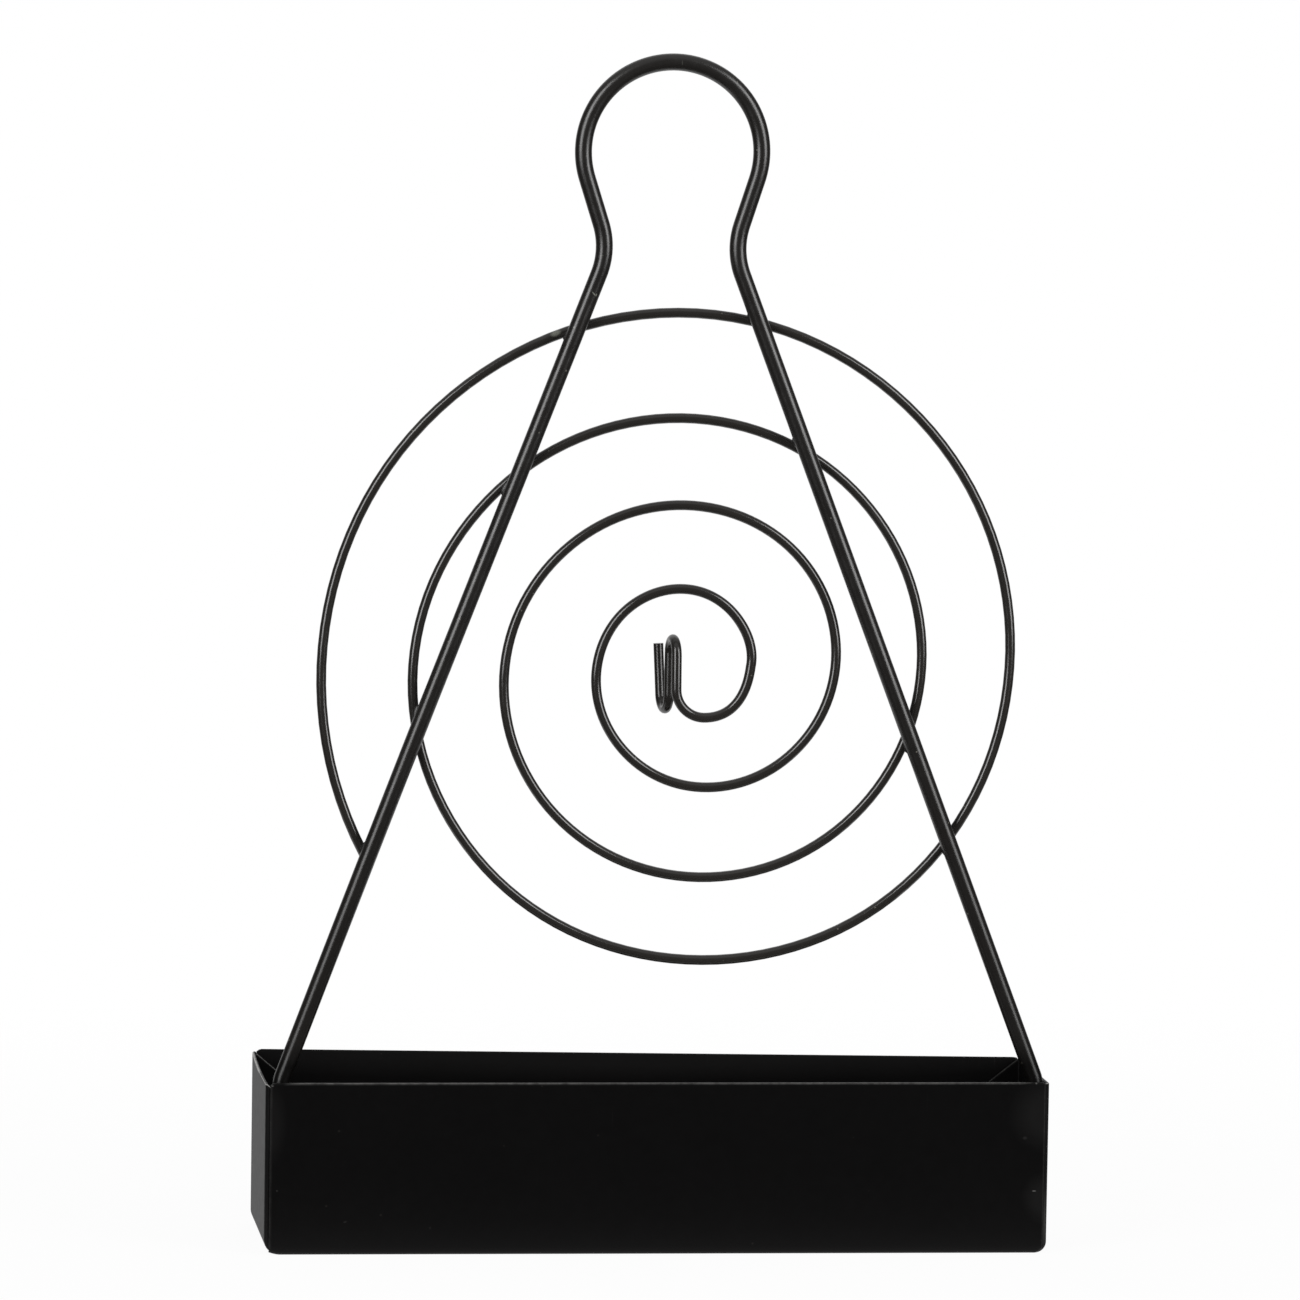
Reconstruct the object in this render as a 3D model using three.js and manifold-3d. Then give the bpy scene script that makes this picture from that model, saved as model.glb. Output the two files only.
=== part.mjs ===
// Mosquito coil holder of black painted steel.
// A rod bent to a keyhole stands in the front of a folded sheet tray. A thinner wire is welded to the
// back of the rod, wound to an open spiral, and its inner end is bent to a clip that grips the coil.
// Millimetres, +Z up, X along the tray, front towards -Y. The origin is under the middle of the tray.
import * as THREE from "three";
import { mergeVertices } from "three/addons/utils/BufferGeometryUtils.js";
import Module from "manifold-3d";

const wasm = await Module();
wasm.setup();

// Tray, folded from one blank: floor, front and back walls, end walls with a tab at each side
const trayLength = 195;
const trayDepth = 50;
const trayHeight = 43;
const sheetThickness = 1;
const bendRadius = 1.8; // outside of a fold
const tabWidth = 7; // from the end wall's outer face to the tab's free edge
const tabDrop = 5.5; // how far the tab's top slopes down, so that it hides below the rim
const tabLap = 0.1; // how deep the welded tab sinks into the wall that covers it
const cutOverrun = 2; // a cutting body reaches this far past what it cuts
const fineGrid = 0.001;

// Frame rod, one length bent to two feet, two legs and a keyhole loop
const rodDiameter = 4;
const overallHeight = 297.2;
const loopInside = 40; // clear width of the round top
const neckInside = 29; // clear width of the narrow neck below it
const neckBendRadius = 18.6; // to the rod's centre line
const neckStraight = 11.7; // straight stretch between the loop and the bend of the neck
const footBendRadius = 8; // to the rod's centre line
const footBendDrop = 1.5; // the foot starts to bend inwards this far below the rim

// Spiral wire, wound from the middle outwards and anticlockwise as seen from the front
const wireDiameter = 2.4;
const spiralCentreOffset = 7; // right of the middle of the tray
const spiralHeightShare = 0.49; // height of its centre, as a share of the overall height
const spiralStartRadius = 12.6;
const spiralPitch = 22.4; // growth of the radius in one turn
const spiralTurns = 4; // the wire is cut behind the left leg before the last turn is full
const spiralTail = 1.5; // how far the wire runs on past the middle of that leg
// The spiral is bent by hand: how far it strays from a true one at each quarter turn, in pitches
const strayShares = [
  0.09, 0.035, -0.015, 0.005, 0.045, -0.03, -0.005, 0.03, -0.005, -0.07, 0.005, -0.035, -0.02, 0.08,
  0.025, 0, 0,
];

// Clip at the inner end: three upright runs, each one behind the last, joined by two tight bends
const clipOffset = 3.4; // first run, right of the middle of the tray
const clipSlot = 5.2; // clear gap between two runs, which grips the coil
const clipStep = 1.35; // each run stands this far to the left of the one before
const clipTopRise = 6.3; // centre line at the top bend, above the spiral's centre
const clipBottomDrop = 11.6; // centre line at the bottom bend, below the spiral's centre
const clipEndRise = 4.1; // cut end of the last run, above the spiral's centre
const leadBendRadius = 7; // bend from the first run into the spiral
const leadDrop = 12.65; // lowest point of the centre line, below the spiral's centre
const leadFullnessShare = 0.6; // handle length of the run from that bend to the spiral

// Welds and the clearances that keep separate pieces apart
const seatGap = 0.3; // rod to sheet
const weldGap = 0.2; // weld metal to the pieces that it joins
const weldCore = 0.1; // thickness of a cross weld at its thinnest point
const crossWeldLength = 4.8;
const crossWeldWidth = 3.8;
const crossWeldDepth = 2;
const footWeldLength = 18;
const footWeldWidth = 3;
const footWeldDepth = 2.6;

// Facets
const bendSegments = 3;
const rodSides = 16;
const wireSides = 10;
const weldSegments = 14;
const bendStep = THREE.MathUtils.degToRad(7.5);
const clipStepAngle = THREE.MathUtils.degToRad(22.5);
const stationsPerTurn = 60;
const leadSegments = 10;
const quartersPerTurn = 4;
const weldReach = 3; // stations of a wire kept on each side of a weld

// Places worked out from those sizes
const halfLength = trayLength / 2;
const halfDepth = trayDepth / 2;
const rodRadius = rodDiameter / 2;
const wireRadius = wireDiameter / 2;
const spiralCentreHeight = overallHeight * spiralHeightShare;
const tabOuterY = halfDepth - sheetThickness + tabLap;
const tabInnerY = tabOuterY - sheetThickness;
const footX = halfLength - sheetThickness - seatGap - rodRadius;
const rodY = -tabInnerY + seatGap + rodRadius;
const wireY = rodY + rodRadius + weldGap + weldCore + weldGap + wireRadius;

const alongX = new THREE.Matrix4().makeBasis(
  new THREE.Vector3(0, 1, 0),
  new THREE.Vector3(0, 0, 1),
  new THREE.Vector3(1, 0, 0),
);
const alongY = new THREE.Matrix4().makeBasis(
  new THREE.Vector3(-1, 0, 0),
  new THREE.Vector3(0, 0, 1),
  new THREE.Vector3(0, 1, 0),
);

// A closed geometry as a solid that can be joined and cut
function toSolid(geometry) {
  const plain = geometry.clone();
  plain.deleteAttribute("normal");
  plain.deleteAttribute("uv");
  const merged = mergeVertices(plain);
  const places = merged.attributes.position.array;
  // Faces that should lie in one plane do so exactly once every place is on a fine grid
  for (let i = 0; i < places.length; i += 1) places[i] = Math.round(places[i] / fineGrid) * fineGrid;
  const mesh = new wasm.Mesh({
    numProp: 3,
    vertProperties: places,
    triVerts: new Uint32Array(merged.index.array),
  });
  return new wasm.Manifold(mesh);
}

// A solid back as a geometry with flat facets
function toGeometry(solid) {
  const mesh = solid.getMesh();
  const geometry = new THREE.BufferGeometry();
  geometry.setAttribute("position", new THREE.BufferAttribute(mesh.vertProperties, 3));
  geometry.setIndex(new THREE.BufferAttribute(mesh.triVerts, 1));
  const flat = geometry.toNonIndexed();
  flat.computeVertexNormals();
  return flat;
}

function paintedMesh(name, geometry) {
  const paint = new THREE.MeshStandardMaterial({ color: 0x141314, roughness: 0.42, metalness: 0 });
  const mesh = new THREE.Mesh(geometry, paint);
  mesh.name = name;
  return mesh;
}

// Open section of a folded sheet: a flat middle with a side turned up at each end
function foldedSection(halfWidth, sideHeight) {
  const innerWidth = halfWidth - sheetThickness;
  const innerRadius = bendRadius - sheetThickness;
  const section = new THREE.Shape();
  section.moveTo(-halfWidth, sideHeight);
  section.lineTo(-halfWidth, bendRadius);
  section.absarc(bendRadius - halfWidth, bendRadius, bendRadius, Math.PI, 1.5 * Math.PI, false);
  section.lineTo(halfWidth - bendRadius, 0);
  section.absarc(halfWidth - bendRadius, bendRadius, bendRadius, 1.5 * Math.PI, 2 * Math.PI, false);
  section.lineTo(halfWidth, sideHeight);
  section.lineTo(innerWidth, sideHeight);
  section.lineTo(innerWidth, bendRadius);
  section.absarc(innerWidth - innerRadius, bendRadius, innerRadius, 0, -0.5 * Math.PI, true);
  section.lineTo(innerRadius - innerWidth, sheetThickness);
  section.absarc(innerRadius - innerWidth, bendRadius, innerRadius, -0.5 * Math.PI, -Math.PI, true);
  section.lineTo(-innerWidth, sideHeight);
  return section;
}

// That section run along a straight line, centred on it
function foldedSheet(halfWidth, sideHeight, length) {
  const section = foldedSection(halfWidth, sideHeight);
  const options = { depth: length, bevelEnabled: false, curveSegments: bendSegments };
  return new THREE.ExtrudeGeometry(section, options).translate(0, 0, -length / 2);
}

// End wall with its two tabs, standing on the fold of the floor, with the sloping tops cut
function endWithTabs(side) {
  const wallHeight = trayHeight - bendRadius;
  const wall = foldedSheet(tabOuterY, tabWidth, wallHeight);
  wall.rotateZ((side * Math.PI) / 2);
  wall.translate(side * halfLength, 0, bendRadius + wallHeight / 2);
  const slope = new THREE.Shape();
  const foldX = side * (halfLength - bendRadius);
  const edgeX = side * (halfLength - tabWidth);
  const slopeRate = tabDrop / (tabWidth - bendRadius);
  slope.moveTo(foldX, trayHeight);
  slope.lineTo(foldX, trayHeight + cutOverrun);
  slope.lineTo(edgeX - side * cutOverrun, trayHeight + cutOverrun);
  slope.lineTo(edgeX - side * cutOverrun, trayHeight - tabDrop - slopeRate * cutOverrun);
  const cutter = new THREE.ExtrudeGeometry(slope, { depth: trayDepth, bevelEnabled: false });
  cutter.rotateX(Math.PI / 2);
  cutter.translate(0, halfDepth, 0);
  return toSolid(wall).subtract(toSolid(cutter));
}

// Round corner that closes the blank where three folds meet: one eighth of a hollow ball
function cornerShell(sideX, sideY) {
  const outer = new THREE.SphereGeometry(bendRadius, 4 * bendSegments, 2 * bendSegments);
  const inner = new THREE.SphereGeometry(bendRadius - sheetThickness, 4 * bendSegments, 2 * bendSegments);
  outer.rotateX(Math.PI / 2);
  inner.rotateX(Math.PI / 2);
  const eighth = new THREE.BoxGeometry(bendRadius, bendRadius, bendRadius);
  eighth.translate((sideX * bendRadius) / 2, (sideY * bendRadius) / 2, -bendRadius / 2);
  const centreX = sideX * (halfLength - bendRadius);
  const centreY = sideY * (tabOuterY - bendRadius);
  for (const body of [outer, inner, eighth]) body.translate(centreX, centreY, bendRadius);
  return toSolid(outer).subtract(toSolid(inner)).intersect(toSolid(eighth));
}

function makeTray() {
  const longWalls = foldedSheet(halfDepth, trayHeight, trayLength - 2 * bendRadius);
  longWalls.applyMatrix4(alongX);
  const endFolds = foldedSheet(halfLength, trayHeight, 2 * (tabOuterY - bendRadius));
  endFolds.applyMatrix4(alongY);
  let tray = toSolid(longWalls).add(toSolid(endFolds));
  for (const sideX of [-1, 1]) {
    tray = tray.add(endWithTabs(sideX));
    for (const sideY of [-1, 1]) {
      tray = tray.add(cornerShell(sideX, sideY));
    }
  }
  return paintedMesh("tray", toGeometry(tray));
}

// A centre line through stations, which the extrusion visits one by one
class Route extends THREE.Curve {
  constructor(stations) {
    super();
    this.stations = stations;
  }
  getPoint(share, target = new THREE.Vector3()) {
    const place = share * (this.stations.length - 1);
    const index = Math.min(Math.floor(place), this.stations.length - 2);
    return target.lerpVectors(this.stations[index], this.stations[index + 1], place - index);
  }
  getPointAt(share, target) {
    return this.getPoint(share, target);
  }
  getTangentAt(share, target = new THREE.Vector3()) {
    const index = Math.round(share * (this.stations.length - 1));
    const before = this.stations[Math.max(index - 1, 0)];
    const here = this.stations[index];
    const after = this.stations[Math.min(index + 1, this.stations.length - 1)];
    const arriving = new THREE.Vector3().subVectors(here, before).normalize();
    const leaving = new THREE.Vector3().subVectors(after, here).normalize();
    return target.addVectors(arriving, leaving).normalize();
  }
  getSpacedPoints(count) {
    return this.getPoints(count);
  }
}

function roundBar(stations, radius, sides) {
  const section = new THREE.Shape();
  for (let side = 0; side < sides; side += 1) {
    const angle = (2 * Math.PI * side) / sides;
    const x = radius * Math.cos(angle);
    const y = radius * Math.sin(angle);
    if (side === 0) section.moveTo(x, y);
    else section.lineTo(x, y);
  }
  const options = { steps: stations.length - 1, extrudePath: new Route(stations), bevelEnabled: false };
  return new THREE.ExtrudeGeometry(section, options);
}

// Points on an arc in the X-Z plane, angles from +X towards +Z
function arcStations(centreX, centreZ, radius, startAngle, endAngle) {
  const count = Math.max(2, Math.ceil(Math.abs(endAngle - startAngle) / bendStep));
  const stations = [];
  for (let i = 0; i <= count; i += 1) {
    const angle = startAngle + ((endAngle - startAngle) * i) / count;
    stations.push(new THREE.Vector2(centreX + radius * Math.cos(angle), centreZ + radius * Math.sin(angle)));
  }
  return stations;
}

// Centre line of the frame rod: the right half from the foot to the top, then its mirror image
function rodRoute() {
  const loopRadius = loopInside / 2 + rodRadius;
  const loopZ = overallHeight - rodRadius - loopRadius;
  const bendSum = loopRadius + neckBendRadius;
  const neckX = neckInside / 2 + rodRadius + neckBendRadius;
  // Angle by which the loop's arc runs on below its widest point before the straight to the neck
  const undercut = Math.acos(neckX / Math.hypot(bendSum, neckStraight)) - Math.atan2(neckStraight, bendSum);
  const neckZ = loopZ - bendSum * Math.sin(undercut) - neckStraight * Math.cos(undercut);
  const footBendX = footX - footBendRadius;
  const footBendZ = trayHeight - footBendDrop;
  // The leg is the straight line that touches the foot's bend and the neck's bend
  const rise = Math.atan2(neckZ - footBendZ, neckX - footBendX);
  const reach = Math.hypot(neckX - footBendX, neckZ - footBendZ);
  const lean = rise - Math.acos((neckBendRadius + footBendRadius) / reach);
  const half = [
    new THREE.Vector2(footX, sheetThickness + seatGap),
    ...arcStations(footBendX, footBendZ, footBendRadius, 0, lean),
    ...arcStations(neckX, neckZ, neckBendRadius, Math.PI + lean, Math.PI - undercut),
    ...arcStations(0, loopZ, loopRadius, -undercut, Math.PI / 2),
  ];
  const otherHalf = half.slice(0, -1).reverse();
  const stations = half.concat(otherHalf.map((point) => new THREE.Vector2(-point.x, point.y)));
  return stations.map((point) => new THREE.Vector3(point.x, rodY, point.y));
}

// Smooth curve through the shares above, read at any number of turns
const strayCurve = new THREE.SplineCurve(strayShares.map((share, i) => new THREE.Vector2(i, share)));

function spiralStation(turns) {
  const lastQuarter = strayShares.length - 1;
  const stray = strayCurve.getPoint(Math.min((turns * quartersPerTurn) / lastQuarter, 1)).y;
  const radius = spiralStartRadius + spiralPitch * (turns + stray);
  const angle = 2 * Math.PI * turns;
  const x = spiralCentreOffset + radius * Math.cos(angle);
  const z = spiralCentreHeight + radius * Math.sin(angle);
  return new THREE.Vector3(x, wireY, z);
}

function spiralStations() {
  const stations = [];
  for (let i = 0; i <= spiralTurns * stationsPerTurn; i += 1) {
    stations.push(spiralStation(i / stationsPerTurn));
  }
  return stations;
}

// Half circle between two upright runs of the clip, from one run's end to the next
function clipBend(start, rising) {
  const half = new THREE.Vector3(-clipStep / 2, (clipSlot + wireDiameter) / 2, 0);
  const centre = start.clone().add(half);
  const count = Math.round(Math.PI / clipStepAngle);
  const stations = [];
  for (let i = 0; i <= count; i += 1) {
    const angle = (Math.PI * i) / count;
    const station = centre.clone().addScaledVector(half, -Math.cos(angle));
    station.z += rising * half.length() * Math.sin(angle);
    stations.push(station);
  }
  return stations;
}

// Centre line from the clip's cut end to the foot of its first run and round into the spiral
function clipStations(spiralStart, spiralNext) {
  const bendDepth = Math.hypot(clipStep, clipSlot + wireDiameter) / 2;
  const topZ = spiralCentreHeight + clipTopRise - bendDepth;
  const bottomZ = spiralCentreHeight - clipBottomDrop + bendDepth;
  const leadZ = spiralCentreHeight - leadDrop;
  const topBend = clipBend(new THREE.Vector3(clipOffset, wireY, topZ), 1);
  const secondRun = topBend[topBend.length - 1];
  const bottomBend = clipBend(new THREE.Vector3(secondRun.x, secondRun.y, bottomZ), -1);
  const lastRun = bottomBend[bottomBend.length - 1];
  const cutEnd = new THREE.Vector3(lastRun.x, lastRun.y, spiralCentreHeight + clipEndRise);
  const leadX = clipOffset + leadBendRadius;
  const leadBend = arcStations(leadX, leadZ + leadBendRadius, leadBendRadius, Math.PI, 1.5 * Math.PI);
  const bend = leadBend.map((point) => new THREE.Vector3(point.x, wireY, point.y));
  const lowest = bend[bend.length - 1];
  const along = new THREE.Vector3().subVectors(spiralNext, spiralStart).normalize();
  const handleX = (spiralStart.x - lowest.x) * leadFullnessShare;
  const handleZ = (spiralStart.z - lowest.z) * leadFullnessShare;
  const leadCurve = new THREE.CubicBezierCurve3(
    lowest,
    new THREE.Vector3(lowest.x + handleX, wireY, lowest.z),
    spiralStart.clone().addScaledVector(along, -handleZ),
    spiralStart,
  );
  const lead = leadCurve.getPoints(leadSegments).slice(1, -1);
  return [cutEnd, ...bottomBend.reverse(), ...topBend.reverse(), ...bend, ...lead];
}

// Where two centre lines cross as seen from the front
function findCrossings(routeA, routeB) {
  const found = [];
  for (let a = 0; a < routeA.length - 1; a += 1) {
    const startA = routeA[a];
    const stepA = new THREE.Vector3().subVectors(routeA[a + 1], startA);
    for (let b = 0; b < routeB.length - 1; b += 1) {
      const startB = routeB[b];
      const stepB = new THREE.Vector3().subVectors(routeB[b + 1], startB);
      const between = new THREE.Vector3().subVectors(startB, startA);
      const turn = stepA.x * stepB.z - stepA.z * stepB.x;
      const shareA = (between.x * stepB.z - between.z * stepB.x) / turn;
      const shareB = (between.x * stepA.z - between.z * stepA.x) / turn;
      if (shareA >= 0 && shareA < 1 && shareB >= 0 && shareB < 1) {
        const point = startA.clone().addScaledVector(stepA, shareA);
        found.push({ point, indexA: a, indexB: b, alongA: stepA.normalize(), alongB: stepB.normalize() });
      }
    }
  }
  return found;
}

// Stations round a crossing, enough of them to cut a weld
function nearStations(route, index) {
  return route.slice(Math.max(index - weldReach, 0), index + weldReach + 2);
}

// Rounded weld metal at a point, less the clearance round the pieces that it joins
function weldBody(length, width, depth, lengthAxis, centre, cutters) {
  const ball = new THREE.SphereGeometry(0.5, weldSegments, weldSegments);
  const depthAxis = new THREE.Vector3(0, 1, 0);
  const widthAxis = new THREE.Vector3().crossVectors(depthAxis, lengthAxis);
  const turned = new THREE.Matrix4().makeBasis(widthAxis, depthAxis, lengthAxis);
  ball.rotateX(Math.PI / 2);
  ball.scale(width, depth, length);
  ball.applyMatrix4(turned);
  ball.translate(centre.x, centre.y, centre.z);
  let body = toSolid(ball);
  for (const cutter of cutters) body = body.subtract(toSolid(cutter));
  return toGeometry(body);
}

// Weld between the rod and the spiral wire where they cross, long along the sharper corner
function crossWeld(name, crossing, spiral, rod) {
  const { point, alongA, alongB } = crossing;
  if (alongA.dot(alongB) < 0) alongB.negate();
  const lengthAxis = new THREE.Vector3().addVectors(alongA, alongB).normalize();
  const middleY = wireY - wireRadius - weldGap - weldCore / 2;
  const centre = new THREE.Vector3(point.x, middleY, point.z);
  const cutters = [
    roundBar(nearStations(spiral, crossing.indexA), wireRadius + weldGap, wireSides),
    roundBar(nearStations(rod, crossing.indexB), rodRadius + weldGap, rodSides),
  ];
  const geometry = weldBody(crossWeldLength, crossWeldWidth, crossWeldDepth, lengthAxis, centre, cutters);
  return paintedMesh(name, geometry);
}

// Upright weld in the corner between a foot of the rod and the tab that it stands against
function footWeld(name, side, rod) {
  const upright = new THREE.Vector3(0, 0, 1);
  const topOfTab = trayHeight - tabDrop;
  const centreX = side * (footX - rodRadius);
  const centre = new THREE.Vector3(centreX, -tabInnerY + weldGap, topOfTab - cutOverrun - footWeldLength / 2);
  const tabFace = new THREE.BoxGeometry(2 * tabWidth, footWeldDepth, trayHeight);
  tabFace.translate(centreX, -tabInnerY + weldGap - footWeldDepth / 2, trayHeight / 2);
  const foot = side > 0 ? rod.slice(0, weldReach) : rod.slice(-weldReach);
  const cutters = [tabFace, roundBar(foot, rodRadius + weldGap, rodSides)];
  const geometry = weldBody(footWeldLength, footWeldWidth, footWeldDepth, upright, centre, cutters);
  return paintedMesh(name, geometry);
}

const holder = new THREE.Group();
holder.add(makeTray());

const rod = rodRoute();
holder.add(paintedMesh("frame_rod", roundBar(rod, rodRadius, rodSides)));
holder.add(footWeld("foot_weld_left", -1, rod));
holder.add(footWeld("foot_weld_right", 1, rod));

const spiral = spiralStations();
const crossings = findCrossings(spiral, rod);
const lastLeft = crossings.findLastIndex((crossing) => crossing.point.x < 0);
const tailCrossing = crossings[lastLeft];
const tailEnd = tailCrossing.point.clone().addScaledVector(tailCrossing.alongA, spiralTail);
const wound = spiral.slice(0, tailCrossing.indexA + 1);
const wire = [...clipStations(spiral[0], spiral[1]), ...wound, tailEnd];
holder.add(paintedMesh("spiral_wire", roundBar(wire, wireRadius, wireSides)));

crossings.slice(0, lastLeft + 1).forEach((crossing, i) => {
  holder.add(crossWeld("cross_weld_" + (i + 1), crossing, spiral, rod));
});

export default holder;
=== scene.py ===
import math

import bmesh
import bpy
import numpy as np
from mathutils import Matrix, Vector


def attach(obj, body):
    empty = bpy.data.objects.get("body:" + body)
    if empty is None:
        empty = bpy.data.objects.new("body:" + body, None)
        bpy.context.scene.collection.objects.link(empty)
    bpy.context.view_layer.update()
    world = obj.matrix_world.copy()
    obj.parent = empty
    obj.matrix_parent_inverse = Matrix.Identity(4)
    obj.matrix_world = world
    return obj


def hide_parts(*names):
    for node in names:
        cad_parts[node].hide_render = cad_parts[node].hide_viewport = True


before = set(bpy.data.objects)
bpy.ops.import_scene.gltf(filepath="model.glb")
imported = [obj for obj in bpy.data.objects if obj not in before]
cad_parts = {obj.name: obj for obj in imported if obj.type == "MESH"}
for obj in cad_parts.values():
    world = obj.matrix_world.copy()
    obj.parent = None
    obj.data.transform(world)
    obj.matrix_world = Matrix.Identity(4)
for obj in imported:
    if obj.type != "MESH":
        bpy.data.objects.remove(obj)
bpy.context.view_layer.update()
print("frame loaded, CAD nodes:", len(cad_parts))


# small helpers for node trees

def plug(tree, socket, value):
    if isinstance(value, bpy.types.NodeSocket):
        tree.links.new(value, socket)
    else:
        socket.default_value = value


def addNode(tree, kind, inputs=None, **settings):
    node = tree.nodes.new(kind)
    for key, value in settings.items():
        setattr(node, key, value)
    for key, value in (inputs or {}).items():
        plug(tree, node.inputs[key], value)
    return node


def calc(tree, operation, *terms):
    return addNode(tree, "ShaderNodeMath", dict(enumerate(terms)), operation=operation).outputs[0]


def addVectors(tree, first, second):
    return addNode(tree, "ShaderNodeVectorMath", {0: first, 1: second}, operation="ADD").outputs[0]


def scaleVector(tree, vector, factor):
    return addNode(tree, "ShaderNodeVectorMath", {0: vector, "Scale": factor}, operation="SCALE").outputs[0]


def splitVector(tree, vector):
    return addNode(tree, "ShaderNodeSeparateXYZ", {0: vector}).outputs


def ramp(tree, value, start, end, low=0.0, high=1.0):
    inputs = {"Value": value, "From Min": start, "From Max": end, "To Min": low, "To Max": high}
    return addNode(tree, "ShaderNodeMapRange", inputs).outputs[0]


def mix(tree, factor, first, second, kind="RGBA"):
    inputs = {"Factor": factor, "A": first, "B": second}
    return addNode(tree, "ShaderNodeMix", inputs, data_type=kind).outputs["Result"]


def noiseAt(tree, place, scale, detail=2.0):
    inputs = {"Vector": place, "Scale": scale, "Detail": detail}
    return addNode(tree, "ShaderNodeTexNoise", inputs).outputs["Fac"]


def namedValue(tree, name, kind="FLOAT"):
    node = addNode(tree, "GeometryNodeInputNamedAttribute", {"Name": name}, data_type=kind)
    return node.outputs["Attribute"]


def storeValue(tree, geometry, name, value, kind="FLOAT_VECTOR"):
    inputs = {"Geometry": geometry, "Name": name, "Value": value}
    node = addNode(tree, "GeometryNodeStoreNamedAttribute", inputs, data_type=kind, domain="POINT")
    return node.outputs[0]


# small helpers for pieces

def placeObject(name, data):
    placed = bpy.data.objects.new(name, data)
    bpy.context.scene.collection.objects.link(placed)
    return placed


def settle(piece):
    # the finished shape as a plain mesh, with no modifier left
    depsgraph = bpy.context.evaluated_depsgraph_get()
    solid = bpy.data.meshes.new_from_object(piece.evaluated_get(depsgraph))
    piece.modifiers.clear()
    piece.data = solid
    return solid


def pointMesh(name, points, edges, values):
    mesh = bpy.data.meshes.new(name)
    mesh.from_pydata([tuple(point) for point in points], edges, [])
    for label, numbers in values.items():
        mesh.attributes.new(label, "FLOAT", "POINT").data.foreach_set("value", numbers)
    return mesh


def chain(first, count):
    return [(first + i, first + i + 1) for i in range(count - 1)]


def newTree(name, values, build, material):
    # one named input for each value; build draws the nodes and gives back their geometry
    tree = bpy.data.node_groups.new(name, "GeometryNodeTree")
    tree.interface.new_socket(name="Geometry", in_out="INPUT", socket_type="NodeSocketGeometry")
    identifiers = {}
    for label, value in values.items():
        kind = "NodeSocketInt" if isinstance(value, int) else "NodeSocketFloat"
        socket = tree.interface.new_socket(name=label, in_out="INPUT", socket_type=kind)
        identifiers[label] = socket.identifier
    tree.interface.new_socket(name="Geometry", in_out="OUTPUT", socket_type="NodeSocketGeometry")
    grown = build(tree, tree.nodes.new("NodeGroupInput").outputs)
    whole = addNode(tree, "GeometryNodeRealizeInstances", {"Geometry": grown}).outputs[0]
    smooth = addNode(tree, "GeometryNodeSetShadeSmooth", {"Geometry": whole}).outputs[0]
    painted = addNode(tree, "GeometryNodeSetMaterial", {"Geometry": smooth, "Material": material}).outputs[0]
    addNode(tree, "NodeGroupOutput", {0: painted})
    return tree, identifiers


def growPiece(name, mesh, treeName, values, build, material):
    tree, identifiers = newTree(treeName, values, build, material)
    piece = placeObject(name, mesh)
    modifier = piece.modifiers.new(name + "Nodes", "NODES")
    modifier.node_group = tree
    for label, value in values.items():
        modifier[identifiers[label]] = value
    settle(piece).name = name
    return piece


def finishPiece(piece, slotName, *nodes):
    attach(piece, "root")
    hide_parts(*nodes)
    print(piece.name, "made:", len(piece.data.polygons), "faces")


# black paint

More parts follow.
